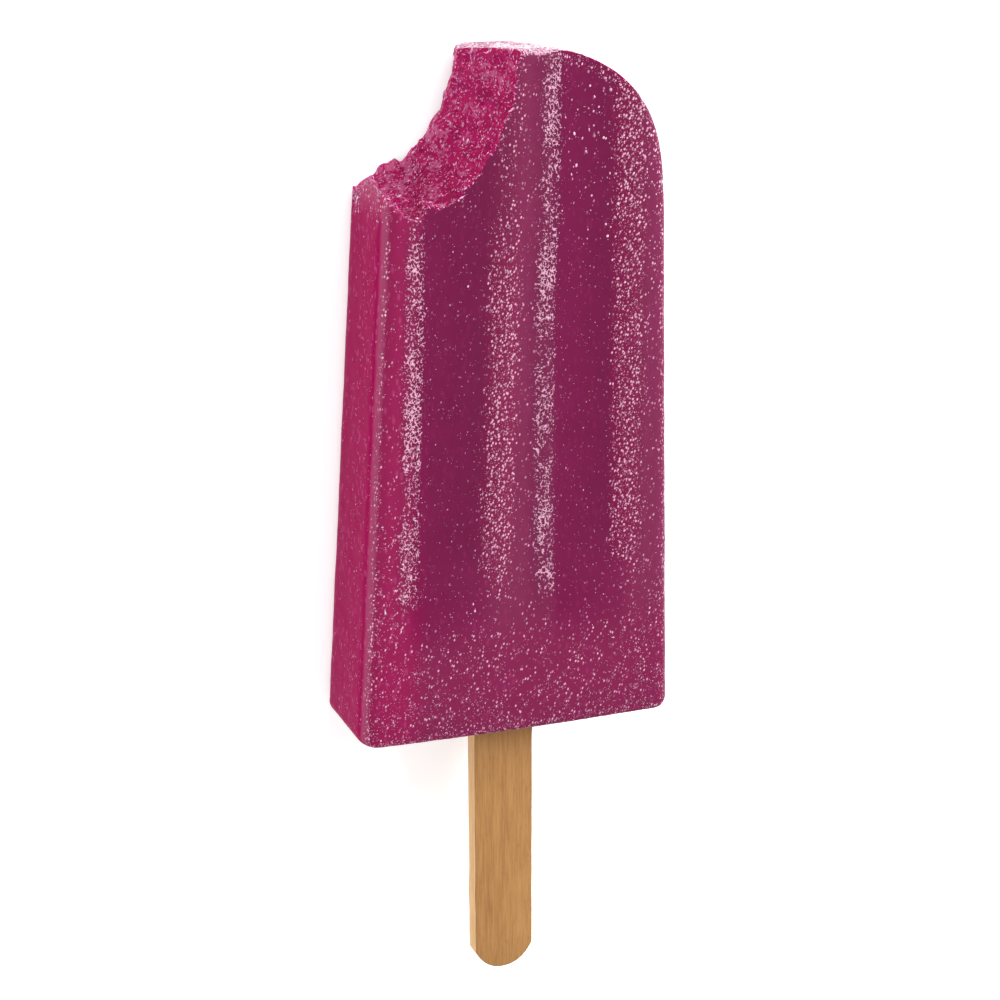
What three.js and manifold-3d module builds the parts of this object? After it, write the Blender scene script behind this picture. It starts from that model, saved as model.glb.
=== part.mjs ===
// Ice pop on a flat wooden stick, lying on its back, with a bite out of one top corner.
// Millimetres, +Z up. +Y runs from the stick towards the rounded top of the ice.

import * as THREE from 'three';
import { mergeVertices } from 'three/addons/utils/BufferGeometryUtils.js';
import Module from 'manifold-3d';

// Ice: a tapered bar, widest and thickest at the butt, where the mould was open.
const ICE_LENGTH = 101.6;
const BUTT_WIDTH = 51.3;
const BUTT_THICKNESS = 18.9;
const WIDTH_LOST_PER_MM = 0.0886;
const THICKNESS_LOST_PER_MM = 0.0255;
const EDGE_RADIUS = 2.9;
const TOP_EDGE_RADIUS = 1.3;
const BUTT_EDGE_RADIUS = 1.0;
const BUTT_CORNER_RADIUS = 1.6;
const BUTT_CROWN = 0.25;

// Rounded top of the bar: a superellipse between the two straight sides.
const TOP_HEIGHT = 23.6;
const TOP_SQUARENESS = 2.5;

// Two hollow flutes on the front and two on the back, open at the top.
const FLUTE_WIDTH = 16.6;
const FLUTE_DEPTH = 2.4;
const FLUTE_PLACE = 0.465;
const FLUTE_END = 15;
const FLUTE_RUN_OUT = 18;

// Bite: tooth marks at the corner, deeper on the front face than on the back.
const TOOTH_MARKS = [
  { x: -16.9, y: 91.2, acrossX: 5.6, acrossY: 12.3, deep: 11.8, leanX: -0.14, leanY: -0.48 },
  { x: -19.4, y: 104.9, acrossX: 10.7, acrossY: 21.1, deep: 21.1, leanX: -0.56, leanY: -0.28 },
  { x: -17.0, y: 106.4, acrossX: 11.0, acrossY: 26.7, deep: 28.4, leanX: 0.56, leanY: -0.08 },
];
const CRUMB_SIZE = 2.4;
const CRUMB_DEPTH = 0.45;

// Stick: a flat blank with ogive ends, frozen in a little crooked.
const STICK_LENGTH = 93;
const STICK_WIDTH = 9.9;
const STICK_THICKNESS = 3.0;
const STICK_SHOWN = 45.3;
const STICK_END_RISE = 3.45;
const STICK_END_FULLNESS = 0.655;
const STICK_OFFSET = 0.2;
const STICK_TURN = 0.0245;
const STICK_EDGE = 0.25;
const SLOT_GAP = 0.3;

// Fineness of the grids.
const CELLS_ACROSS = 48;
const CELLS_ALONG = 32;

const wasm = await Module();
wasm.setup();

function toManifold(geometry) {
  const bare = geometry.index ? geometry.toNonIndexed() : geometry.clone();
  bare.deleteAttribute('normal');
  bare.deleteAttribute('uv');
  const merged = mergeVertices(bare, 1e-4);
  const vertProperties = new Float32Array(merged.attributes.position.array);
  const triVerts = new Uint32Array(merged.index.array);
  return new wasm.Manifold(new wasm.Mesh({ numProp: 3, vertProperties, triVerts }));
}

function toGeometry(solid) {
  const mesh = solid.getMesh();
  const geometry = new THREE.BufferGeometry();
  geometry.setAttribute('position', new THREE.BufferAttribute(mesh.vertProperties, 3));
  geometry.setIndex(new THREE.BufferAttribute(mesh.triVerts, 1));
  geometry.computeVertexNormals();
  return geometry;
}

// Moves every vertex of a geometry by a function of its old place.
function reshape(geometry, move) {
  const position = geometry.attributes.position;
  const point = new THREE.Vector3();
  for (let i = 0; i < position.count; i += 1) {
    point.fromBufferAttribute(position, i);
    move(point);
    position.setXYZ(i, point.x, point.y, point.z);
  }
  return geometry;
}

const halfWidthAt = (y) => (BUTT_WIDTH - WIDTH_LOST_PER_MM * y) / 2;
const thicknessAt = (y) => BUTT_THICKNESS - THICKNESS_LOST_PER_MM * y;

// Height of the outline above the butt, for u from -1 to 1 across the bar.
function topAt(u) {
  const rise = (1 - Math.abs(u) ** TOP_SQUARENESS) ** (1 / TOP_SQUARENESS);
  return ICE_LENGTH - TOP_HEIGHT + TOP_HEIGHT * rise;
}

// Lower edge of the outline: the butt bulges a little where the ice swelled as it froze.
const buttAt = (u) => -BUTT_CROWN * (1 - u * u);

// Right half of the outline, from the butt up to the middle of the top.
function outlinePoints() {
  const points = [new THREE.Vector2(halfWidthAt(0), 0)];
  for (let i = 0; i <= 60; i += 1) {
    const u = Math.cos((Math.PI / 2) * (i / 60));
    points.push(new THREE.Vector2(u * halfWidthAt(topAt(u)), topAt(u)));
  }
  return points;
}

const OUTLINE = outlinePoints();

// Distance from a point of the face to the nearest stretch of the outline.
function distanceInside(x, y) {
  const point = new THREE.Vector3(Math.abs(x), y, 0);
  const nearest = new THREE.Vector3();
  const stretch = new THREE.Line3();
  let distance = Infinity;
  for (let i = 1; i < OUTLINE.length; i += 1) {
    stretch.start.set(OUTLINE[i - 1].x, OUTLINE[i - 1].y, 0);
    stretch.end.set(OUTLINE[i].x, OUTLINE[i].y, 0);
    stretch.closestPointToPoint(point, true, nearest);
    distance = Math.min(distance, nearest.distanceTo(point));
  }
  return distance;
}

// How far a rounded edge of this radius has dropped at a distance in from the outline.
function edgeDrop(inside, radius) {
  if (inside >= radius) {
    return 0;
  }
  return radius - Math.sqrt(radius ** 2 - (radius - inside) ** 2);
}

// The long edges are well rounded, and sharpen over the arch of the top.
function edgeRadiusAt(y) {
  const share = THREE.MathUtils.smootherstep(y, ICE_LENGTH - TOP_HEIGHT, ICE_LENGTH - 5);
  return THREE.MathUtils.lerp(EDGE_RADIUS, TOP_EDGE_RADIUS, share);
}

// Depth of the flutes below the flat of the face.
function fluteDepth(x, y) {
  const middle = FLUTE_PLACE * halfWidthAt(y);
  const across = Math.min(1, Math.abs(Math.abs(x) - middle) / (FLUTE_WIDTH / 2));
  const along = THREE.MathUtils.smootherstep(y, FLUTE_END, FLUTE_END + FLUTE_RUN_OUT);
  const hollow = (1 - across ** 2) ** 1.5;
  return FLUTE_DEPTH * hollow * along;
}

// Grid lines crowd together at the edges, where the faces curve.
function crowded(t, share) {
  return (1 - share) * t + share * Math.sin((Math.PI / 2) * t);
}

function moulding() {
  const block = new THREE.BoxGeometry(2, 2, 2, CELLS_ACROSS, CELLS_ALONG, 2);
  return reshape(block, (point) => {
    const u = crowded(point.x, 0.75);
    const v = (crowded(point.y, 0.85) + 1) / 2;
    const y = buttAt(u) + v * (topAt(u) - buttAt(u));
    const fromButt = y - buttAt(u);
    const x = u * (halfWidthAt(y) - edgeDrop(fromButt, BUTT_CORNER_RADIUS));
    const side = edgeDrop(distanceInside(u * halfWidthAt(y), y), edgeRadiusAt(y));
    const butt = edgeDrop(fromButt, BUTT_EDGE_RADIUS);
    const corner = Math.min(EDGE_RADIUS, Math.hypot(side, butt));
    const sunk = Math.max(corner, fluteDepth(x, y));
    const half = thicknessAt(y) / 2;
    point.set(x, y, half + point.z * (half - sunk));
  });
}

// Smooth noise from -1 to 1 on a lattice of whole numbers.
function latticeValue(i, j, k) {
  const wave = Math.sin(i * 127.1 + j * 311.7 + k * 74.7) * 43758.5453;
  return 2 * (wave - Math.floor(wave)) - 1;
}

function noise(x, y, z) {
  const cell = [Math.floor(x), Math.floor(y), Math.floor(z)];
  const part = [x - cell[0], y - cell[1], z - cell[2]].map((t) => t * t * (3 - 2 * t));
  let sum = 0;
  for (let corner = 0; corner < 8; corner += 1) {
    const step = [corner & 1, (corner >> 1) & 1, (corner >> 2) & 1];
    const weight = step.reduce((w, s, axis) => w * (s ? part[axis] : 1 - part[axis]), 1);
    sum += weight * latticeValue(cell[0] + step[0], cell[1] + step[1], cell[2] + step[2]);
  }
  return sum;
}

// One tooth mark: a long ball, leaning through the thickness, with a crumbly skin.
function toothMark({ x, y, acrossX, acrossY, deep, leanX, leanY }) {
  const ball = new THREE.IcosahedronGeometry(1, 20);
  const middle = thicknessAt(y) / 2;
  reshape(ball, (point) => {
    const direction = point.clone();
    point.multiply(new THREE.Vector3(acrossX, acrossY, deep));
    const rough = noise(point.x / CRUMB_SIZE + x, point.y / CRUMB_SIZE + y, point.z / CRUMB_SIZE);
    point.addScaledVector(direction, CRUMB_DEPTH * rough);
    point.set(x + point.x + leanX * point.z, y + point.y + leanY * point.z, middle + point.z);
  });
  return toManifold(ball);
}

// Outline of the stick, or of its slot when it is grown by a margin. Each end is a blunt
// arch that meets the straight sides at a faint corner.
function stickShape(margin) {
  const half = STICK_WIDTH / 2 + margin;
  const low = -STICK_SHOWN - margin;
  const high = STICK_LENGTH - STICK_SHOWN + margin;
  const shape = new THREE.Shape();
  shape.moveTo(half, low + STICK_END_RISE);
  shape.lineTo(half, high - STICK_END_RISE);
  shape.quadraticCurveTo(STICK_END_FULLNESS * half, high, 0, high);
  shape.quadraticCurveTo(-STICK_END_FULLNESS * half, high, -half, high - STICK_END_RISE);
  shape.lineTo(-half, low + STICK_END_RISE);
  shape.quadraticCurveTo(-STICK_END_FULLNESS * half, low, 0, low);
  shape.quadraticCurveTo(STICK_END_FULLNESS * half, low, half, low + STICK_END_RISE);
  return shape;
}

function stickBlank() {
  const blank = new THREE.ExtrudeGeometry(stickShape(0), {
    depth: STICK_THICKNESS - 2 * STICK_EDGE,
    curveSegments: 10,
    bevelThickness: STICK_EDGE,
    bevelSize: STICK_EDGE,
    bevelOffset: -STICK_EDGE,
    bevelSegments: 2,
  });
  return blank.translate(0, 0, STICK_EDGE - STICK_THICKNESS / 2);
}

function stickSlot() {
  const shape = stickShape(SLOT_GAP);
  const depth = STICK_THICKNESS + 2 * SLOT_GAP;
  const slot = new THREE.ExtrudeGeometry(shape, { depth, curveSegments: 6, bevelEnabled: false });
  return slot.translate(0, 0, -depth / 2);
}

// The stick lies in the middle of the taper, so it leans a little towards the front.
const stickPlace = new THREE.Matrix4()
  .makeTranslation(STICK_OFFSET, 0, BUTT_THICKNESS / 2)
  .multiply(new THREE.Matrix4().makeRotationX(-Math.atan(THICKNESS_LOST_PER_MM / 2)))
  .multiply(new THREE.Matrix4().makeRotationZ(STICK_TURN));

function ice() {
  let body = toManifold(moulding());
  body = body.subtract(toManifold(stickSlot().applyMatrix4(stickPlace)));
  for (const mark of TOOTH_MARKS) {
    body = body.subtract(toothMark(mark));
  }
  return toGeometry(body);
}

const iceMaterial = new THREE.MeshStandardMaterial({
  color: 0xa02c62,
  roughness: 0.35,
  metalness: 0,
});
const woodMaterial = new THREE.MeshStandardMaterial({
  color: 0xb98d58,
  roughness: 0.7,
  metalness: 0,
});

const iceMesh = new THREE.Mesh(ice(), iceMaterial);
iceMesh.name = 'ice';

const stickMesh = new THREE.Mesh(stickBlank(), woodMaterial);
stickMesh.name = 'stick';
stickMesh.applyMatrix4(stickPlace);

const icePop = new THREE.Group();
icePop.add(iceMesh, stickMesh);

// The origin is under the middle of the whole pop.
icePop.updateMatrixWorld(true);
const middle = new THREE.Box3().setFromObject(icePop, true).getCenter(new THREE.Vector3());
icePop.position.set(-middle.x, -middle.y, 0);

export default icePop;
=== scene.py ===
import math

import bmesh
import bpy
import numpy as np
from mathutils import Matrix, Vector, noise
from mathutils.kdtree import KDTree


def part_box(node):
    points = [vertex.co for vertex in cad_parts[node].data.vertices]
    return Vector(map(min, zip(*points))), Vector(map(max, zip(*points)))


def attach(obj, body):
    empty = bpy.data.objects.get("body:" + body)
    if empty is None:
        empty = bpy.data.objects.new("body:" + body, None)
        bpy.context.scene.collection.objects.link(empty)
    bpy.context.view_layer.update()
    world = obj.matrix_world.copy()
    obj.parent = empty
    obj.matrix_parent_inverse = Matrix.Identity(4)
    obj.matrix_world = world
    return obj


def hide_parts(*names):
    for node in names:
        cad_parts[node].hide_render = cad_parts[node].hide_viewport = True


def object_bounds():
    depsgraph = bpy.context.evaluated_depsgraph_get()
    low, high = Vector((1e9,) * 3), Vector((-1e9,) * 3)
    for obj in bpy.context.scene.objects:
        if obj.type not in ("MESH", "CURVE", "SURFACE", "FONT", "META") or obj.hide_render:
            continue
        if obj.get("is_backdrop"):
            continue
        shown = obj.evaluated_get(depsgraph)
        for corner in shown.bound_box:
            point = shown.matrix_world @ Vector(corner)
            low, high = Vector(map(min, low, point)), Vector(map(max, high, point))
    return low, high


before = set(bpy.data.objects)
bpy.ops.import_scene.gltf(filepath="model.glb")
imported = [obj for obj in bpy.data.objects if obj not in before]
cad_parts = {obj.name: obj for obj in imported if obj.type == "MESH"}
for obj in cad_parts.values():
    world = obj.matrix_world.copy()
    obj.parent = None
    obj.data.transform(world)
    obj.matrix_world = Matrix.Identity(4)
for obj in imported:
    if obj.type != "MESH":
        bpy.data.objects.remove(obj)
cad_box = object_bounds()


# --- Ice bar ---------------------------------------------------------------------------------
# Berry water ice, frozen in an open metal mould. The mould tapers so that the bar slides out,
# and it leaves two hollow flutes on each face and rounded edges. The butt froze in the open.

# Sizes are in millimetres, with the butt at y = 0. A finished mesh goes to the row's metres last.
MM = 0.001
ICE_LENGTH = 101.6
BUTT_WIDTH = 51.3
BUTT_THICKNESS = 18.9
WIDTH_TAPER = 0.0886
THICKNESS_TAPER = 0.0255
EDGE_RADIUS = 2.9
TOP_EDGE_RADIUS = 1.3
BUTT_EDGE_RADIUS = 1.0
BUTT_CORNER_RADIUS = 1.6
BUTT_CROWN = 0.25
TOP_HEIGHT = 23.6
TOP_SQUARENESS = 2.5
FLUTE_HALF_WIDTH = 8.3
FLUTE_DEPTH = 2.4
FLUTE_PLACE = 0.465
FLUTE_END = 15
FLUTE_RUN_OUT = 18
CELLS_ACROSS = 120
CELLS_ALONG = 240
WALL_CUTS = 14
SWELLS = ((5, 0.05), (1.6, 0.035))

butt_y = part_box("ice")[1].y - ICE_LENGTH * MM


def half_width(y):
    return (BUTT_WIDTH - WIDTH_TAPER * y) / 2


def thickness(y):
    return BUTT_THICKNESS - THICKNESS_TAPER * y


def smooth_step(low, high, value):
    t = np.clip((value - low) / (high - low), 0, 1)
    return t * t * t * (t * (6 * t - 15) + 10)


def top_height(u):
    rise = (1 - np.abs(u) ** TOP_SQUARENESS) ** (1 / TOP_SQUARENESS)
    return ICE_LENGTH - TOP_HEIGHT + TOP_HEIGHT * rise


def distance_inside(x, y):
    """How far points of a face lie inside the bar's outline, taken as short straight stretches."""
    u = np.cos(np.linspace(0, math.pi / 2, 61))
    xs = np.append(half_width(0), u * half_width(top_height(u)))
    ys = np.append(0, top_height(u))
    nearest = np.full(x.shape, np.inf)
    for ax, ay, dx, dy in zip(xs[:-1], ys[:-1], np.diff(xs), np.diff(ys)):
        across, up = np.abs(x) - ax, y - ay
        along = np.clip((across * dx + up * dy) / (dx * dx + dy * dy), 0, 1)
        nearest = np.minimum(nearest, np.hypot(across - along * dx, up - along * dy))
    return nearest


def edge_drop(inside, radius):
    return radius - np.sqrt(np.maximum(radius**2 - np.clip(radius - inside, 0, radius) ** 2, 0))


def edge_radius(y):
    sharper = smooth_step(ICE_LENGTH - TOP_HEIGHT, ICE_LENGTH - 5, y)
    return EDGE_RADIUS + (TOP_EDGE_RADIUS - EDGE_RADIUS) * sharper


def from_flute(x, y):
    """Distance across the face from the middle of the nearer flute, negative on its left."""
    return x - np.where(x < 0, -1, 1) * FLUTE_PLACE * half_width(y)


def flute_depth(x, y):
    across = np.clip(np.abs(from_flute(x, y)) / FLUTE_HALF_WIDTH, 0, 1)
    hollow = FLUTE_DEPTH * (1 - across**2) ** 1.5
    return hollow * smooth_step(FLUTE_END, FLUTE_END + FLUTE_RUN_OUT, y)


def mould(block):
    """Takes a block from -1 to 1 on each axis to the mould's shape, its cells crowded at the edges."""
    u = 0.25 * block[:, 0] + 0.75 * np.sin(math.pi / 2 * block[:, 0])
    v = (0.15 * block[:, 1] + 0.85 * np.sin(math.pi / 2 * block[:, 1]) + 1) / 2
    butt = -BUTT_CROWN * (1 - u**2)
    y = butt + v * (top_height(u) - butt)
    x = u * (half_width(y) - edge_drop(y - butt, BUTT_CORNER_RADIUS))
    side = edge_drop(distance_inside(u * half_width(y), y), edge_radius(y))
    corner = np.minimum(EDGE_RADIUS, np.hypot(side, edge_drop(y - butt, BUTT_EDGE_RADIUS)))
    sunk = np.maximum(corner, flute_depth(x, y))
    half = thickness(y) / 2
    return np.stack([x, y, half + block[:, 2] * (half - sunk)], axis=1)


def read(mesh_part, name, width=3):
    values = np.empty(len(mesh_part) * width)
    mesh_part.foreach_get(name, values)
    return values.reshape(-1, width)


def finish_mesh(bm, name):
    mesh = bpy.data.meshes.new(name)
    bm.to_mesh(mesh)
    bm.free()
    mesh.shade_smooth()
    piece = bpy.data.objects.new(name, mesh)
    bpy.context.scene.collection.objects.link(piece)
    return piece


def ripple(points, size, depth):
    """Soft unevenness over points: a height for each, from noise lumps of that size."""
    return np.array([depth * noise.noise(Vector(p) / size) for p in points])


bm = bmesh.new()
bmesh.ops.create_grid(bm, x_segments=CELLS_ACROSS, y_segments=CELLS_ALONG, size=1)
bmesh.ops.translate(bm, verts=bm.verts, vec=(0, 0, 1))
front_geom = bm.verts[:] + bm.edges[:] + bm.faces[:]
back_geom = bmesh.ops.duplicate(bm, geom=front_geom)["geom"]
bmesh.ops.reverse_faces(bm, faces=[g for g in back_geom if isinstance(g, bmesh.types.BMFace)])
back_verts = [g for g in back_geom if isinstance(g, bmesh.types.BMVert)]
bmesh.ops.translate(bm, verts=back_verts, vec=(0, 0, -2))
wall = bmesh.ops.bridge_loops(bm, edges=[e for e in bm.edges if e.is_boundary])
bmesh.ops.subdivide_edges(bm, edges=wall["edges"], cuts=WALL_CUTS, use_grid_fill=True)
bmesh.ops.recalc_face_normals(bm, faces=bm.faces)
ice = finish_mesh(bm, "berry-ice")
ice.data.vertices.foreach_set("co", mould(read(ice.data.vertices, "co")).ravel())
ice.data.update()

# The skin melts and freezes again unevenly, but stays flat where the bar lies on it.
skin = read(ice.data.vertices, "co")
outward = read(ice.data.vertices, "normal")
swell = sum(ripple(skin, size, depth) for size, depth in SWELLS) * smooth_step(0, 0.4, skin[:, 2])
ice.data.vertices.foreach_set("co", (skin + outward * swell[:, None]).ravel())
ice.data.update()


# --- Bite ------------------------------------------------------------------------------------
# Three overlapping tooth marks at one top corner. Frozen juice breaks along its crystals, so the
# broken face is a crumbly mass of grains about a millimetre across, brighter than the skin.

TOOTH_MARKS = (
    {"at": (-16.9, 91.2), "radii": (5.6, 12.3, 11.8), "lean": (-0.14, -0.48)},
    {"at": (-19.4, 104.9), "radii": (10.7, 21.1, 21.1), "lean": (-0.56, -0.28)},
    {"at": (-17.0, 106.4), "radii": (11.0, 26.7, 28.4), "lean": (0.56, -0.08)},
)
LUMPS = ((3.4, 0.50), (1.5, 0.46), (0.7, 0.26))
SKIN, BROKEN = 0, 1


def crumble(point):
    """How far the broken face stands out at a point, in lumps of several sizes."""
    return sum(depth * noise.noise(point / size) for size, depth in LUMPS)


def tooth_mark(at, radii, lean):
    bm = bmesh.new()
    bmesh.ops.create_icosphere(bm, subdivisions=7, radius=1)
    middle = thickness(at[1]) / 2
    for vertex in bm.verts:
        away = vertex.co.copy()
        x, y, z = (c * r for c, r in zip(away, radii))
        leaning = Vector((at[0] + x + lean[0] * z, at[1] + y + lean[1] * z, middle + z))
        vertex.co = leaning + away * crumble(leaning)
    for face in bm.faces:
        face.material_index = BROKEN
    return finish_mesh(bm, "tooth-mark")


def new_material(piece, name):
    """An empty material for the piece's next slot, and its nodes."""
    material = bpy.data.materials.new(name)
    material.use_nodes = True
    material.node_tree.nodes.clear()
    piece.data.materials.append(material)
    return material.node_tree


def cut(piece, tool):
    cutter = piece.modifiers.new("cut", "BOOLEAN")
    cutter.operation = "DIFFERENCE"
    cutter.solver = "MANIFOLD"
    cutter.object = tool
    evaluated = piece.evaluated_get(bpy.context.evaluated_depsgraph_get())
    mesh = bpy.data.meshes.new_from_object(evaluated)
    piece.modifiers.clear()
    piece.data = mesh
    bpy.data.objects.remove(tool)


skin_look = new_material(ice, "frozen-berry-juice")
broken_look = new_material(ice, "broken-berry-ice")
for mark in TOOTH_MARKS:
    cut(ice, tooth_mark(**mark))


# --- Stick -------------------------------------------------------------------------------------
# A birch veneer blank, 93 mm long and 3 mm thick, punched out with blunt arched ends and tumbled
# to break its edges. Half of its length is frozen into the bar, a little crooked.

STICK_LENGTH = 93
STICK_WIDTH = 9.9
STICK_THICKNESS = 3.0
STICK_SHOWN = 45.3
STICK_END_RISE = 3.45
STICK_END_FULLNESS = 0.655
STICK_OFFSET = 0.2
STICK_TURN = 0.0245
STICK_EDGE = 0.25
STICK_WAVE = 0.18
WAVE_RUN = 6
WAVE_CUTS = 55
SLOT_CLEARANCE = 0.04
OUTLINE_POINTS = 96
FACE_WOOD, CUT_WOOD = 0, 1

stick_place = (
    Matrix.Translation((STICK_OFFSET, 0, BUTT_THICKNESS / 2))
    @ Matrix.Rotation(-math.atan(THICKNESS_TAPER / 2), 4, "X")
    @ Matrix.Rotation(STICK_TURN, 4, "Z")
)


def stick_blank(name, grown):
    """The punched blank, larger all round by what it is grown."""
    bm = bmesh.new()
    bmesh.ops.create_circle(bm, cap_ends=True, segments=OUTLINE_POINTS, radius=1)
    half_step = math.pi / OUTLINE_POINTS
    bmesh.ops.rotate(bm, verts=bm.verts, matrix=Matrix.Rotation(half_step, 3, "Z"))
    for vertex in bm.verts:
        turned = math.atan2(abs(vertex.co.y), abs(vertex.co.x)) - half_step
        t = turned / (math.pi / 2 - 2 * half_step)
        reach = (1 - t) ** 2 + 2 * t * (1 - t) * STICK_END_FULLNESS
        end = STICK_LENGTH / 2 + grown - (1 - t) ** 2 * STICK_END_RISE
        vertex.co.x = math.copysign(reach * (STICK_WIDTH / 2 + grown), vertex.co.x)
        vertex.co.y = math.copysign(end, vertex.co.y)
    deep = STICK_THICKNESS + 2 * grown
    raised = bmesh.ops.extrude_face_region(bm, geom=bm.faces[:])["geom"]
    raised = [g for g in raised if isinstance(g, bmesh.types.BMVert)]
    bmesh.ops.translate(bm, verts=raised, vec=(0, 0, deep))
    bmesh.ops.recalc_face_normals(bm, faces=bm.faces)
    for face in bm.faces:
        face.material_index = FACE_WOOD if abs(face.normal.z) > 0.5 else CUT_WOOD
    rims = [e for e in bm.edges if any(abs(f.normal.z) > 0.5 for f in e.link_faces)]
    bmesh.ops.bevel(
        bm, geom=rims, offset=STICK_EDGE, segments=3, profile=0.5, affect="EDGES", material=-1
    )
    # The long edges waver a little, as punched veneer does.
    for station in np.linspace(-STICK_LENGTH / 2 + WAVE_RUN, STICK_LENGTH / 2 - WAVE_RUN, WAVE_CUTS):
        whole = bm.verts[:] + bm.edges[:] + bm.faces[:]
        bmesh.ops.bisect_plane(bm, geom=whole, plane_co=(0, station, 0), plane_no=(0, 1, 0))
    for vertex in bm.verts:
        own_noise = Vector((math.copysign(9, vertex.co.x), vertex.co.y / WAVE_RUN, 0))
        vertex.co.x += STICK_WAVE * noise.noise(own_noise)
    bmesh.ops.translate(bm, verts=bm.verts, vec=(0, STICK_LENGTH / 2 - STICK_SHOWN, -deep / 2))
    bmesh.ops.transform(bm, matrix=stick_place, verts=bm.verts)
    return finish_mesh(bm, name)


cut(ice, stick_blank("slot", SLOT_CLEARANCE))
stick = stick_blank("birch-stick", 0)
stick.data.set_sharp_from_angle(angle=math.radians(40))


def linear(code):
    """A hex colour as linear red, green, blue and alpha."""
    parts = [int(code[i : i + 2], 16) / 255 for i in (1, 3, 5)]
    return [c / 12.92 if c <= 0.04045 else ((c + 0.055) / 1.055) ** 2.4 for c in parts] + [1]


def add(tree, kind, inputs=(), **settings):
    """Adds a node with its settings; each input is a value or the output that feeds it."""
    node = tree.nodes.new(kind)
    for name, value in settings.items():
        setattr(node, name, value)
    for name, value in dict(inputs).items():
        if isinstance(value, bpy.types.NodeSocket):
            tree.links.new(value, node.inputs[name])
        else:
            node.inputs[name].default_value = value
    return node


# Rotary-cut birch: tan, with straight fibres 0.3 mm apart, short darker pores, and bands of warmer
# and paler wood 2 mm wide. The punched sides are paler, since they cut across the fibres.
for name, dark, light, mean in (
    ("birch-veneer", "#83562a", "#a97e48", "#976b3a"),
    ("cut-birch", "#b08453", "#d6b283", "#c79f6c"),
):
    tree = new_material(stick, name)
    place = add(tree, "ShaderNodeTexCoord").outputs["Object"]
    turned = add(tree, "ShaderNodeMapping", {"Vector": place, "Rotation": (0, 0, -STICK_TURN)})
    along = add(tree, "ShaderNodeMapping", {"Vector": turned.outputs[0], "Scale": (1, 0.05, 1)})
    fibre = add(
        tree,
        "ShaderNodeTexNoise",
        {"Vector": along.outputs[0], "Scale": 1 / 0.00032, "Detail": 3.0, "Roughness": 0.6},
    )
    band = add(
        tree,
        "ShaderNodeTexNoise",
        {"Vector": along.outputs[0], "Scale": 1 / 0.0022, "Detail": 2.0, "Distortion": 0.4},
    )
    short = add(tree, "ShaderNodeMapping", {"Vector": turned.outputs[0], "Scale": (1, 0.18, 1)})
    pore = add(
        tree, "ShaderNodeTexNoise", {"Vector": short.outputs[0], "Scale": 1 / 0.0003, "Detail": 1.0}
    )
    grain = add(tree, "ShaderNodeMix", {0: 0.35, 2: fibre.outputs["Fac"], 3: band.outputs["Fac"]})
    tone = add(
        tree, "ShaderNodeMapRange", {"Value": grain.outputs[0], "From Min": 0.34, "From Max": 0.66}
    )
    wood = add(
        tree, "ShaderNodeMix", {0: tone.outputs[0], 6: linear(dark), 7: linear(light)}, data_type="RGBA"
    )
    calm = add(tree, "ShaderNodeMix", {0: 0.35, 6: wood.outputs[2], 7: linear(mean)}, data_type="RGBA")
    speck = add(
        tree,
        "ShaderNodeMapRange",
        {"Value": pore.outputs["Fac"], "From Min": 0.60, "From Max": 0.72, "To Max": 0.35},
    )
    pored = add(
        tree, "ShaderNodeMix", {0: speck.outputs[0], 6: calm.outputs[2], 7: linear(dark)}, data_type="RGBA"
    )
    bump = add(
        tree, "ShaderNodeBump", {"Height": fibre.outputs["Fac"], "Strength": 0.4, "Distance": 0.0001}
    )
    shader = add(
        tree,
        "ShaderNodeBsdfPrincipled",
        {"Base Color": pored.outputs[2], "Roughness": 0.65, "IOR": 1.45, "Normal": bump.outputs[0]},
    )
    add(tree, "ShaderNodeOutputMaterial", {"Surface": shader.outputs[0]})

to_row = Matrix.Translation((0, butt_y, 0)) @ Matrix.Scale(MM, 4)
stick.data.transform(to_row)
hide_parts("stick")
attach(stick, "root")


# --- Skin and broken face of the ice -----------------------------------------------------------
# Frozen berry juice, cloudy, so that light soaks in a few millimetres and leaves magenta. The
# flute floors are bare and painted darker as shade; rime, a web of white crystals, grips their left
# walls and the top, whitened there partly as a painted highlight of the soft boxes.

points = read(ice.data.vertices, "co")
normals = read(ice.data.vertices, "normal")
corners = {SKIN: np.zeros(len(points), bool), BROKEN: np.zeros(len(points), bool)}
for polygon in ice.data.polygons:
    corners[polygon.material_index][list(polygon.vertices)] = True
lip = corners[SKIN] & corners[BROKEN]
bitten = corners[BROKEN]

# Where each finish lies, mostly from 0 to 1 at every point. First the faces, the top end, the butt
# and the plain ice below the flutes.
x, y, z = points.T
across = from_flute(x, y)
inside = distance_inside(x, y)
facing = smooth_step(0.35, 0.8, np.abs(normals[:, 2])) * smooth_step(0.08, 0.22, inside)
# The top end is frosted, and also painted whiter as a highlight of the light from above.
top_frost_and_light = smooth_step(0.20, 0.55, normals[:, 1]) * smooth_step(86, 94, y)
butt = smooth_step(-0.3, -0.9, normals[:, 1])
low = smooth_step(28, 6, y)
# Then each flute: its bare floor, painted darker as shade, its rimed left wall, whitened partly as a
# painted highlight of the right soft box, and the dewy crest to its right, with painted glints.
fluted = smooth_step(FLUTE_END - 5, FLUTE_END + 8, y)
hollow = fluted * smooth_step(-7.9, -5.4, across) * smooth_step(8.6, 3.2, across)
patchy = 0.85 + ripple(points, 4, 0.45)
drift = across + 1.4 * (x > 0) * smooth_step(95, 50, y)
# The left wall's rime is frost, whitened partly as a painted highlight of the right soft box it faces.
wall = smooth_step(17, 26, y) * smooth_step(-9.9, -7.6, drift) * smooth_step(-4.4, -5.8, drift)
wall = wall * facing * (1 - 0.55 * smooth_step(70, 80, y) * (x < 0))
ridge = across + 1.2 * (x > 0)
crest = smooth_step(18, 32, y) * smooth_step(3.4, 6.2, ridge) * smooth_step(10.0, 7.4, ridge)
crest = crest * (1 - 0.75 * smooth_step(66, 82, y) * (x < 0))
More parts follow.
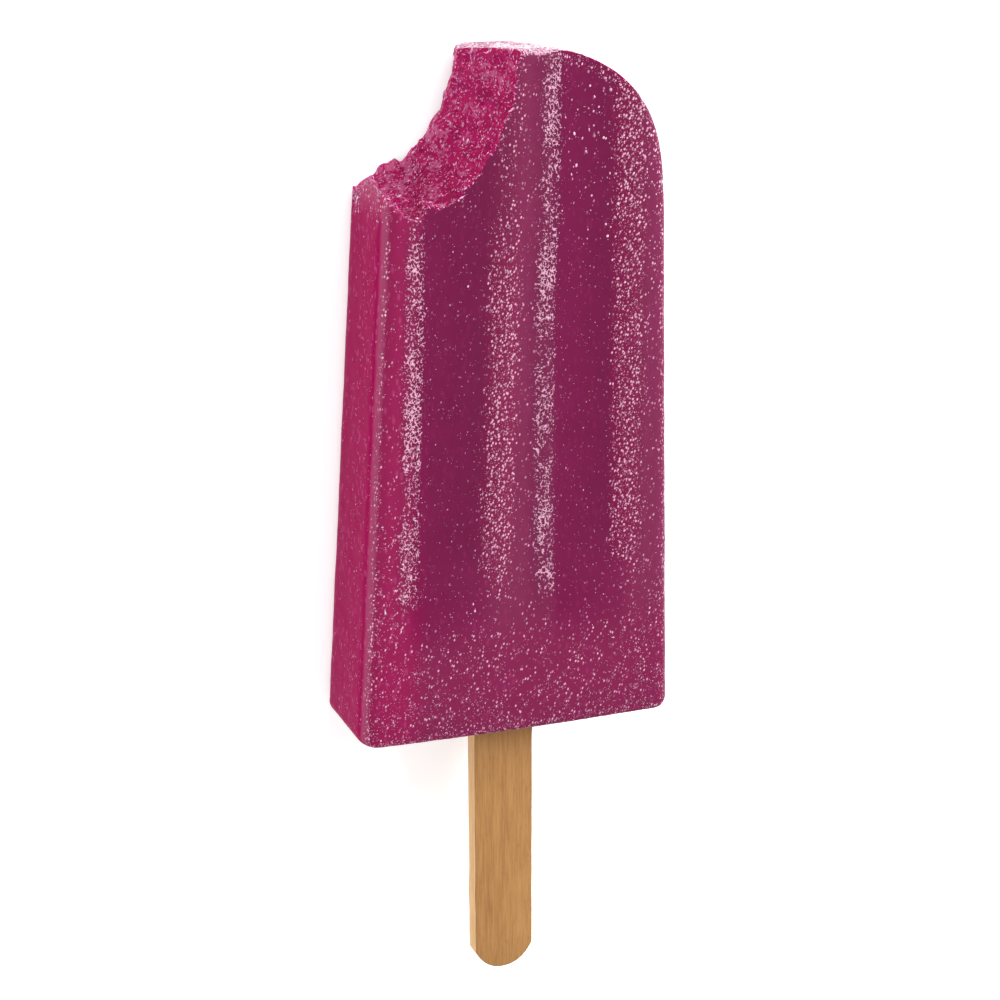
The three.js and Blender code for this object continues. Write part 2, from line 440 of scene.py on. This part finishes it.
# Then the rounded edges, and the side next to the bite, which the teeth chipped.
on_left = smooth_step(-15, -19, x)
right_edge = fluted * smooth_step(2.4, 0.9, inside) * (x > 0)
# A painted highlight on the rounded left edge, standing for the left soft box's reflection there.
left_rim_highlight = smooth_step(0.22, 0.50, normals[:, 2]) * smooth_step(0.88, 0.62, normals[:, 2]) * on_left
rim_line = smooth_step(0.52, 0.64, normals[:, 2]) * smooth_step(0.84, 0.74, normals[:, 2]) * on_left
lip_tree = KDTree(int(lip.sum()))
for index in np.flatnonzero(lip):
    lip_tree.insert(Vector(points[index]), int(index))
lip_tree.balance()
from_lip = np.array([lip_tree.find(Vector(p))[2] for p in points])
chipped = smooth_step(3.6, 0.6, from_lip) * (1 - facing) * smooth_step(-14, -19, x)
# Rime is thick frost, whitened on the left walls and the top partly as painted highlight. Haze is thin
# frost mixed with painted light and shade: less of it on the flute floors as painted shade, more on the
# left rim and the top as painted highlight. Glow is painted light inside the ice: the sides, the left of
# each face, the crests and the plain ice at the butt get lighter and more saturated juice. Peel is skin
# rough enough to hold fine dew, its pale dashes partly painted glints, and proud is how far a crumb of
# the bite stands out.
rime = np.maximum(0.70 * wall * patchy, 1.1 * top_frost_and_light)
rime = np.maximum(rime, 0.22 * smooth_step(10, 0, y) * facing)
rime = np.maximum(rime, 0.6 * butt)
# Haze is thin frost and painted light and shade: less on the flute floors as painted shade, rising towards
# each crest as painted shading, and more on the left rim and the top as painted highlight.
haze_and_painted_light = 0.13 - 0.10 * hollow + 0.04 * fluted * smooth_step(-3, 7, across)
haze_and_painted_light = facing * np.maximum(haze_and_painted_light - 0.02 * low, 0)
haze_and_painted_light = np.maximum(haze_and_painted_light, 0.52 * left_rim_highlight)
haze_and_painted_light = np.maximum(haze_and_painted_light, 0.80 * top_frost_and_light)
haze_and_painted_light = np.maximum(haze_and_painted_light, 0.35 * chipped)
# Painted glow: lighter, more saturated juice on the sides, the left of each face, the crests and the butt.
painted_glow = 1 - facing * (0.86 - (0.62 - 0.14 * low) * smooth_step(-14, -20.5, x) - 0.20 * low - 0.25 * crest)
painted_glow = np.clip(painted_glow - 0.9 * top_frost_and_light, 0, 1)
# Pale dew dashes, partly painted glints, gather on the crests, the right edge and the left rim line.
peel_and_glints = 0.20 + facing * (0.10 - 0.14 * hollow + 0.70 * crest + 0.35 * right_edge)
peel_and_glints = peel_and_glints + 0.14 * low * facing
peel_and_glints = peel_and_glints + 0.3 * rim_line + 0.4 * chipped
proud = np.array([crumble(Vector(p)) if b else 0 for p, b in zip(points, bitten)])
proud = proud + 0.12 - 0.40 * smooth_step(12, 2, z)
layers = {"rime": rime, "haze_and_painted_light": haze_and_painted_light, "painted_glow": painted_glow, "peel_and_glints": peel_and_glints, "proud": proud}
for name, values in layers.items():
    ice.data.attributes.new(name, "FLOAT", "POINT").data.foreach_set("value", values)

tree = skin_look
place = add(tree, "ShaderNodeTexCoord").outputs["Object"]
cover = add(tree, "ShaderNodeAttribute", attribute_name="rime").outputs["Fac"]
veil_and_painted_light = add(tree, "ShaderNodeAttribute", attribute_name="haze_and_painted_light").outputs["Fac"]
lit = add(tree, "ShaderNodeAttribute", attribute_name="painted_glow").outputs["Fac"]
# Cloudy patches 5 mm across, and trapped bubbles a millimetre apart, drawn out along the bar as it
# froze. They show where light comes through the ice.
cloud = add(
    tree, "ShaderNodeTexNoise", {"Vector": place, "Scale": 1 / 0.005, "Detail": 4.0, "Roughness": 0.6}
)
# Two copies of the juice: a dull one, and a lighter, more saturated one where the painted glow stands for
# light coming through the ice.
juice = add(
    tree,
    "ShaderNodeMix",
    {0: cloud.outputs["Fac"], 6: linear("#521333"), 7: linear("#5f183e")},
    data_type="RGBA",
)
clear = add(
    tree,
    "ShaderNodeMix",
    {0: cloud.outputs["Fac"], 6: linear("#7d003c"), 7: linear("#8a0046")},
    data_type="RGBA",
)
body = add(tree, "ShaderNodeMix", {0: lit, 6: juice.outputs[2], 7: clear.outputs[2]}, data_type="RGBA")
drawn = add(tree, "ShaderNodeMapping", {"Vector": place, "Scale": (1, 0.45, 1)})
bubble = add(tree, "ShaderNodeTexVoronoi", {"Vector": drawn.outputs[0], "Scale": 1 / 0.0010})
cloudy_bubble = add(
    tree,
    "ShaderNodeMapRange",
    {"Value": bubble.outputs["Distance"], "From Min": 0.33, "From Max": 0.12, "To Max": 0.58},
    interpolation_type="SMOOTHSTEP",
)
shown = add(
    tree, "ShaderNodeMath", {0: cloudy_bubble.outputs[0], 1: lit}, operation="MULTIPLY", use_clamp=True
)
body = add(
    tree,
    "ShaderNodeMix",
    {0: shown.outputs[0], 6: body.outputs[2], 7: linear("#a23c6c")},
    data_type="RGBA",
)
hazed_and_lit = add(tree, "ShaderNodeMix", {0: veil_and_painted_light, 6: body.outputs[2], 7: linear("#a05472")}, data_type="RGBA")
# The finest dew is a dash to every 0.4 mm, coarser than the real dew so that it shows, leaning a
# little to the right. Its pale colour is partly painted glints, thickest on the crests and the edges
# where highlights fall.
rough_and_glints = add(tree, "ShaderNodeAttribute", attribute_name="peel_and_glints").outputs["Fac"]
leaning = add(tree, "ShaderNodeMapping", {"Vector": place, "Rotation": (0, 0, 0.35)})
drawn = add(tree, "ShaderNodeMapping", {"Vector": leaning.outputs[0], "Scale": (1, 0.62, 1)})
dash = add(tree, "ShaderNodeTexVoronoi", {"Vector": drawn.outputs[0], "Scale": 1 / 0.00040})
dot = add(
    tree,
    "ShaderNodeMapRange",
    {"Value": dash.outputs["Distance"], "From Min": 0.42, "From Max": 0.20},
    interpolation_type="SMOOTHSTEP",
)
kept = add(tree, "ShaderNodeMath", {0: rough_and_glints, 1: dash.outputs["Color"]}, operation="SUBTRACT")
kept = add(tree, "ShaderNodeMapRange", {"Value": kept.outputs[0], "From Min": 0.0, "From Max": 0.25})
dash_glints = add(
    tree, "ShaderNodeMath", {0: dot.outputs[0], 1: kept.outputs[0]}, operation="MULTIPLY", use_clamp=True
)
hazed_and_lit = add(
    tree,
    "ShaderNodeMix",
    {0: dash_glints.outputs[0], 6: hazed_and_lit.outputs[2], 7: linear("#dca4bd")},
    data_type="RGBA",
)
# The rime grows as a web with holes half a millimetre across, bent by noise, on dulled skin. Its
# white is partly a painted highlight, where the walls face the right soft box and the top faces up.
shaded = add(tree, "ShaderNodeMath", {0: cover, 1: 0.5}, operation="MULTIPLY")
hazed_and_lit = add(
    tree,
    "ShaderNodeMix",
    {0: shaded.outputs[0], 6: hazed_and_lit.outputs[2], 7: linear("#501a38")},
    data_type="RGBA",
)
speck = add(
    tree, "ShaderNodeTexNoise", {"Vector": place, "Scale": 1 / 0.0005, "Detail": 1.0, "Roughness": 0.5}
)
bent = add(
    tree,
    "ShaderNodeVectorMath",
    {0: speck.outputs["Color"], 1: (0.0007, 0.0007, 0.0007), 2: place},
    operation="MULTIPLY_ADD",
)
web = add(
    tree,
    "ShaderNodeTexVoronoi",
    {"Vector": bent.outputs[0], "Scale": 1 / 0.00058},
    feature="DISTANCE_TO_EDGE",
)
lace = add(
    tree,
    "ShaderNodeMapRange",
    {"Value": web.outputs["Distance"], "From Min": 0.04, "From Max": 0.22, "To Min": 1.0, "To Max": 0.0},
    interpolation_type="SMOOTHSTEP",
)
dense = add(
    tree, "ShaderNodeMath", {0: lace.outputs[0], 1: speck.outputs["Fac"]}, operation="MULTIPLY"
)
least = add(
    tree,
    "ShaderNodeMapRange",
    {"Value": cover, "From Min": 0.0, "From Max": 1.0, "To Min": 0.76, "To Max": 0.20},
)
over = add(tree, "ShaderNodeMath", {0: dense.outputs[0], 1: least.outputs[0]}, operation="SUBTRACT")
white = add(
    tree,
    "ShaderNodeMapRange",
    {"Value": over.outputs[0], "From Min": 0.0, "From Max": 0.14, "To Min": 0.0, "To Max": 0.90},
    interpolation_type="SMOOTHSTEP",
)
rimed = add(
    tree,
    "ShaderNodeMix",
    {0: white.outputs[0], 6: hazed_and_lit.outputs[2], 7: linear("#cc9fb4")},
    data_type="RGBA",
)
grit = add(
    tree,
    "ShaderNodeMath",
    {0: dash_glints.outputs[0], 1: 1.5, 2: white.outputs[0]},
    operation="MULTIPLY_ADD",
)
bump = add(tree, "ShaderNodeBump", {"Height": grit.outputs[0], "Strength": 0.7, "Distance": 0.00012})
gloss = add(
    tree,
    "ShaderNodeMapRange",
    {"Value": cover, "From Min": 0.0, "From Max": 1.0, "To Min": 0.3, "To Max": 0.55},
)
shader = add(
    tree,
    "ShaderNodeBsdfPrincipled",
    {
        "Base Color": rimed.outputs[2],
        "Roughness": gloss.outputs[0],
        "Normal": bump.outputs[0],
        "IOR": 1.31,
        "Specular IOR Level": 0.02,
        "Subsurface Weight": 0.3,
        "Subsurface Radius": (1.0, 0.25, 0.45),
        "Subsurface Scale": 0.002,
    },
    subsurface_method="RANDOM_WALK",
)
add(tree, "ShaderNodeOutputMaterial", {"Surface": shader.outputs[0]})

# Broken ice: bright wet magenta in the hollows, whitened where crystals half a millimetre across
# were crushed, more in some places than in others 3 mm away.
tree = broken_look
place = add(tree, "ShaderNodeTexCoord").outputs["Object"]
proud = add(tree, "ShaderNodeAttribute", attribute_name="proud").outputs["Fac"]
crushed = add(
    tree, "ShaderNodeTexNoise", {"Vector": place, "Scale": 1 / 0.00045, "Detail": 4.0, "Roughness": 0.75}
)
patch = add(tree, "ShaderNodeTexNoise", {"Vector": place, "Scale": 1 / 0.0030, "Detail": 1.0})
patch = add(
    tree, "ShaderNodeMapRange", {"Value": patch.outputs["Fac"], "From Min": 0.36, "From Max": 0.64}
)
level = add(tree, "ShaderNodeMapRange", {"Value": proud, "From Min": 0.5, "From Max": -0.5})
crystal = add(tree, "ShaderNodeTexVoronoi", {"Vector": place, "Scale": 1 / 0.0005})
mixed = add(tree, "ShaderNodeMix", {0: 0.35, 2: crushed.outputs["Fac"], 3: level.outputs[0]})
mixed = add(tree, "ShaderNodeMix", {0: 0.22, 2: mixed.outputs[0], 3: patch.outputs[0]})
sparkle = add(tree, "ShaderNodeMix", {0: 0.25, 2: mixed.outputs[0], 3: crystal.outputs["Color"]})
pale = add(
    tree,
    "ShaderNodeMapRange",
    {"Value": sparkle.outputs[0], "From Min": 0.54, "From Max": 0.62, "To Max": 0.52},
    interpolation_type="SMOOTHSTEP",
)
deep = add(tree, "ShaderNodeMapRange", {"Value": sparkle.outputs[0], "From Min": 0.42, "From Max": 0.30})
wet = add(
    tree,
    "ShaderNodeMix",
    {0: deep.outputs[0], 6: linear("#9e0450"), 7: linear("#860040")},
    data_type="RGBA",
)
flesh = add(
    tree,
    "ShaderNodeMix",
    {0: pale.outputs[0], 6: wet.outputs[2], 7: linear("#c06f98")},
    data_type="RGBA",
)
bump = add(tree, "ShaderNodeBump", {"Height": sparkle.outputs[0], "Strength": 1.0, "Distance": 0.0008})
shader = add(
    tree,
    "ShaderNodeBsdfPrincipled",
    {
        "Base Color": flesh.outputs[2],
        "Roughness": 0.25,
        "Normal": bump.outputs[0],
        "IOR": 1.31,
        "Specular IOR Level": 0.2,
        "Subsurface Weight": 0.4,
        "Subsurface Radius": (1.0, 0.2, 0.4),
        "Subsurface Scale": 0.002,
    },
    subsurface_method="RANDOM_WALK",
)
add(tree, "ShaderNodeOutputMaterial", {"Surface": shader.outputs[0]})


# --- Dew beads ---------------------------------------------------------------------------------
# Droplets of dew frozen onto the skin, a tenth of a millimetre across and drawn out along the bar:
# under one to the square millimetre, but crowded on the crests and the right edge.

MOST_FACES = 198000
BEAD_RADIUS = 0.041
DROP_RADIUS = 0.115
ice.data.calc_loop_triangles()
triangles = np.empty(len(ice.data.loop_triangles) * 3, int)
ice.data.loop_triangles.foreach_get("vertices", triangles)
triangles = triangles.reshape(-1, 3)
edge_pairs = points[triangles[:, 1:]] - points[triangles[:, :1]]
areas = np.linalg.norm(np.cross(edge_pairs[:, 0], edge_pairs[:, 1]), axis=1) / 2


def spots(density, draw, shape):
    """Random places on the ice, so many to the square millimetre, and which way is out there."""
    share = areas * density[triangles].mean(axis=1)
    count = min(int(share.sum()), MOST_FACES // len(shape.faces))
    chosen = triangles[draw.choice(len(triangles), count, p=share / share.sum())]
    weights = draw.dirichlet((1, 1, 1), count)[:, :, None]
    out = (normals[chosen] * weights).sum(axis=1)
    return (points[chosen] * weights).sum(axis=1), out / np.linalg.norm(out, axis=1)[:, None]


def strew(name, shape, where, out, sizes, turn, tones):
    """Joins a copy of a small shape at each place, each with its own size, turn and tone."""
    heading = np.stack([np.sin(turn), np.cos(turn), np.zeros(len(turn))], axis=1)
    side = np.cross(heading, out)
    side /= np.linalg.norm(side, axis=1)[:, None]
    heading = np.cross(out, side)
    frames = np.stack([side * sizes[:, :1], heading * sizes[:, 1:2], out * sizes[:, 2:]], axis=1)
    shape.verts.index_update()
    seed = np.array([v.co for v in shape.verts])
    faces = np.array([[v.index for v in f.verts] for f in shape.faces])
    places = np.einsum("vk,nkc->nvc", seed, frames) + where[:, None, :]
    joined = faces[None] + len(seed) * np.arange(len(where))[:, None, None]
    mesh = bpy.data.meshes.new(name)
    mesh.from_pydata(places.reshape(-1, 3), [], joined.reshape(-1, faces.shape[1]))
    mesh.transform(to_row)
    mesh.shade_smooth()
    tone = mesh.attributes.new("tone", "FLOAT", "POINT")
    tone.data.foreach_set("value", np.repeat(tones, len(seed)))
    piece = bpy.data.objects.new(name, mesh)
    bpy.context.scene.collection.objects.link(piece)
    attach(piece, "root")
    return piece


def grain_look(piece, name, dull, bright, roughness):
    """Ice in small grains, each with a tone of its own, since some catch the light and some don't."""
    tree = new_material(piece, name)
    tone = add(tree, "ShaderNodeAttribute", attribute_name="tone").outputs["Fac"]
    ends = {0: tone, 6: linear(dull), 7: linear(bright)}
    colour = add(tree, "ShaderNodeMix", ends, data_type="RGBA")
    look = {"Base Color": colour.outputs[2], "Roughness": roughness, "IOR": 1.31}
    shader = add(tree, "ShaderNodeBsdfPrincipled", look)
    add(tree, "ShaderNodeOutputMaterial", {"Surface": shader.outputs[0]})


bead = bmesh.new()
bmesh.ops.create_uvsphere(bead, u_segments=4, v_segments=2, radius=1)

draw = np.random.default_rng(7)
shown_side = np.where(z > 9, 1, 0.3)
skin_only = np.where(bitten, 0, 1) * smooth_step(0.2, 1.0, z) * shown_side
sparse = 0.50 + 6.0 * crest + 3.5 * right_edge + 0.1 * (1 - fluted)
beads = skin_only * (facing * sparse + 0.45 * (1 - facing) + 3.5 * rim_line)
where, out = spots(1.5 * beads, draw, bead)
breadth = BEAD_RADIUS * np.exp(draw.normal(0, 0.36, len(where)))
length = breadth * draw.uniform(1.0, 2.4, len(where))
sizes = np.stack([breadth, length, 0.8 * breadth], axis=1)
tones = draw.random(len(where)) ** 1.1
dew = strew("dew-beads", bead, where, out, sizes, draw.normal(0.2, 0.4, len(where)), tones)
# Glassy, from the colour of the juice behind it to a white glint.
grain_look(dew, "frozen-dew", "#9a4a70", "#ecc6d7", 0.12)

# Larger drops, a quarter of a millimetre across, ran together towards the top right corner.
round_drop = bmesh.new()
bmesh.ops.create_icosphere(round_drop, subdivisions=2, radius=1)
corner = smooth_step(62, 88, y) * smooth_step(3, 14, x)
where, out = spots(skin_only * facing * (0.006 + 0.62 * corner), draw, round_drop)
breadth = DROP_RADIUS * np.exp(draw.normal(0, 0.32, len(where)))
length = breadth * draw.uniform(1.0, 1.7, len(where))
sizes = np.stack([breadth, length, 0.65 * breadth], axis=1)
turns = draw.normal(0.2, 0.3, len(where))
drops = strew("dew-drops", round_drop, where, out, sizes, turns, draw.random(len(where)))
# As glassy, and a little darker, since more juice shows through a larger drop.
grain_look(drops, "clear-frozen-dew", "#8a3e66", "#e6bfce", 0.1)


# --- Rime crystals -----------------------------------------------------------------------------
# Grains of white frost on the left walls of the flutes, along the top and at the butt, where
# they clump. Each is a tiny bar or plate of ice.

CRYSTAL_RADIUS = 0.043
draw = np.random.default_rng(11)
clumps = smooth_step(-0.05, 0.35, ripple(points, 2.6, 1.0))
left_strip = smooth_step(-18.5, -20.5, x) * smooth_step(45, 20, y)
right_strip = smooth_step(14, 22, x) * smooth_step(34, 8, y)
lower = smooth_step(24, 3, y) * (0.20 + 2.2 * clumps) + 1.2 * left_strip
lower = lower + right_strip * (0.5 + 2.4 * clumps)
edges = smooth_step(1.4, 0.3, inside) * smooth_step(16, 22, x) + 2.5 * smooth_step(2.0, 0.3, y)
frost = 0.9 * wall * patchy + 6.0 * top_frost_and_light + facing * (1.5 * lower + 2.5 * edges)
frost = skin_only * (frost + 1.2 * butt + 1.5 * chipped)
where, out = spots(1.3 * frost, draw, bead)
# They grow largest on the top end, and whitest there as a painted highlight of the light from above,
# and are small and dull on the plain ice at the butt.
on_top = smooth_step(0.5, 0.9, out[:, 1])
near_butt = smooth_step(24, 16, where[:, 1])
breadth = CRYSTAL_RADIUS * np.exp(draw.normal(0, 0.38, len(where))) * (1 + on_top)
breadth = breadth * (1 - 0.22 * near_butt)
length = breadth * draw.uniform(1.2, 3.4, len(where))
sizes = np.stack([breadth, length, 0.9 * breadth], axis=1)
turns = draw.uniform(0, math.pi, len(where))
tones = draw.random(len(where)) ** (1.5 - 0.9 * on_top)
tones = tones * (1 - 0.25 * near_butt * (out[:, 2] > 0.5))
rime_piece = strew("rime-crystals", bead, where, out, sizes, turns, tones)
# White and half matt, as frost is, with the juice showing through the smaller grains.
grain_look(rime_piece, "rime", "#a0627f", "#f3e2ea", 0.4)


# --- Crumbs of the bite ------------------------------------------------------------------------
# Splinters that the teeth left standing on the broken face, and a pale line of them on its lip.

SPLINTER_RADIUS = 0.055
draw = np.random.default_rng(13)
splinters = np.where(bitten, 5.5, 0) + np.where(lip, 8.0, 0)
where, out = spots(splinters, draw, bead)
breadth = SPLINTER_RADIUS * np.exp(draw.normal(0, 0.4, len(where)))
length = breadth * draw.uniform(1.2, 4.2, len(where))
sizes = np.stack([breadth, length, 1.1 * breadth], axis=1)
turns = draw.uniform(0, math.pi, len(where))
crumbs = strew("bite-splinters", bead, where, out, sizes, turns, draw.random(len(where)) ** 1.2)
# Wet and bright, from magenta to white, the white partly painted glints on freshly broken edges.
grain_look(crumbs, "splintered-ice", "#ac3a80", "#f6c8e8", 0.15)

ice.data.transform(to_row)
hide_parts("ice")
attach(ice, "root")


# --- Table and light ---------------------------------------------------------------------------
# A plain white light table under the pop, which softens its shadow, a large soft box above and
# to its right, and weaker ones round it.

TABLE_HALF_WIDTH = 3
TABLE_CLEARANCE = 0.0002
bm = bmesh.new()
bmesh.ops.create_grid(bm, x_segments=1, y_segments=1, size=TABLE_HALF_WIDTH)
bmesh.ops.translate(bm, verts=bm.verts, vec=(0, 0, -TABLE_CLEARANCE))
table_top = finish_mesh(bm, "table-top")
# White card, matt, and lit from below so that shadows on it stay pale.
tree = new_material(table_top, "white-card")
shader = add(
    tree,
    "ShaderNodeBsdfPrincipled",
    {
        "Base Color": linear("#f2f2f2"),
        "Roughness": 0.9,
        "Emission Color": (1, 1, 1, 1),
        "Emission Strength": 0.4,
    },
)
add(tree, "ShaderNodeOutputMaterial", {"Surface": shader.outputs[0]})
table_top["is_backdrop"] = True

world = bpy.data.worlds.new("studio")
bpy.context.scene.world = world
world.use_nodes = True
world.node_tree.nodes["Background"].inputs["Color"].default_value = (1, 1, 1, 1)
world.node_tree.nodes["Background"].inputs["Strength"].default_value = 0.6


def soft_box(name, place, size, power):
    """A square soft box that faces the pop."""
    lamp = bpy.data.lights.new(name, "AREA")
    lamp.shape = "SQUARE"
    lamp.size = size
    lamp.energy = power
    holder = bpy.data.objects.new(name, lamp)
    bpy.context.scene.collection.objects.link(holder)
    holder.location = place
    holder.rotation_euler = (-Vector(place)).to_track_quat("-Z", "Y").to_euler()


soft_box("right-soft-box", (0.48, 0.30, 0.50), 0.30, 6)
soft_box("left-soft-box", (-0.6, -0.1, 0.30), 0.40, 1.8)
soft_box("top-soft-box", (0.0, 0.7, 0.6), 0.40, 3)


# --- Camera ------------------------------------------------------------------------------------
# Three hundred millimetres away, over the left shoulder of the pop and looking down on it.

CAMERA_DISTANCE = 0.300
CAMERA_SIDE = math.radians(22.92)
CAMERA_RISE = math.radians(17.01)
CAMERA_ROLL = math.radians(1.455)
CAMERA_LENS = 70.97
CAMERA_SHIFT = -0.0063
AIM_ALONG = 0.03485
AIM_HEIGHT = 0.009

aim = Vector((-0.0005, butt_y + AIM_ALONG, AIM_HEIGHT))
back = Vector(
    (
        -math.sin(CAMERA_SIDE) * math.cos(CAMERA_RISE),
        math.sin(CAMERA_RISE),
        math.cos(CAMERA_SIDE) * math.cos(CAMERA_RISE),
    )
)
level = Vector((math.cos(CAMERA_SIDE), 0, math.sin(CAMERA_SIDE)))
upright = back.cross(level)
right = level * math.cos(CAMERA_ROLL) + upright * math.sin(CAMERA_ROLL)
facing_aim = Matrix((right, back.cross(right), back)).transposed().to_4x4()
camera = bpy.data.objects.new("camera", bpy.data.cameras.new("camera"))
camera.data.lens = CAMERA_LENS
camera.data.sensor_width = 36
camera.data.shift_y = CAMERA_SHIFT
camera.data.clip_start = 0.01
camera.matrix_world = Matrix.Translation(aim + back * CAMERA_DISTANCE) @ facing_aim
bpy.context.scene.collection.objects.link(camera)
bpy.context.scene.camera = camera
bpy.context.scene.view_settings.view_transform = "Standard"

sizes = {"cad": [list(c) for c in cad_box], "visual": [list(c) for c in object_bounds()]}
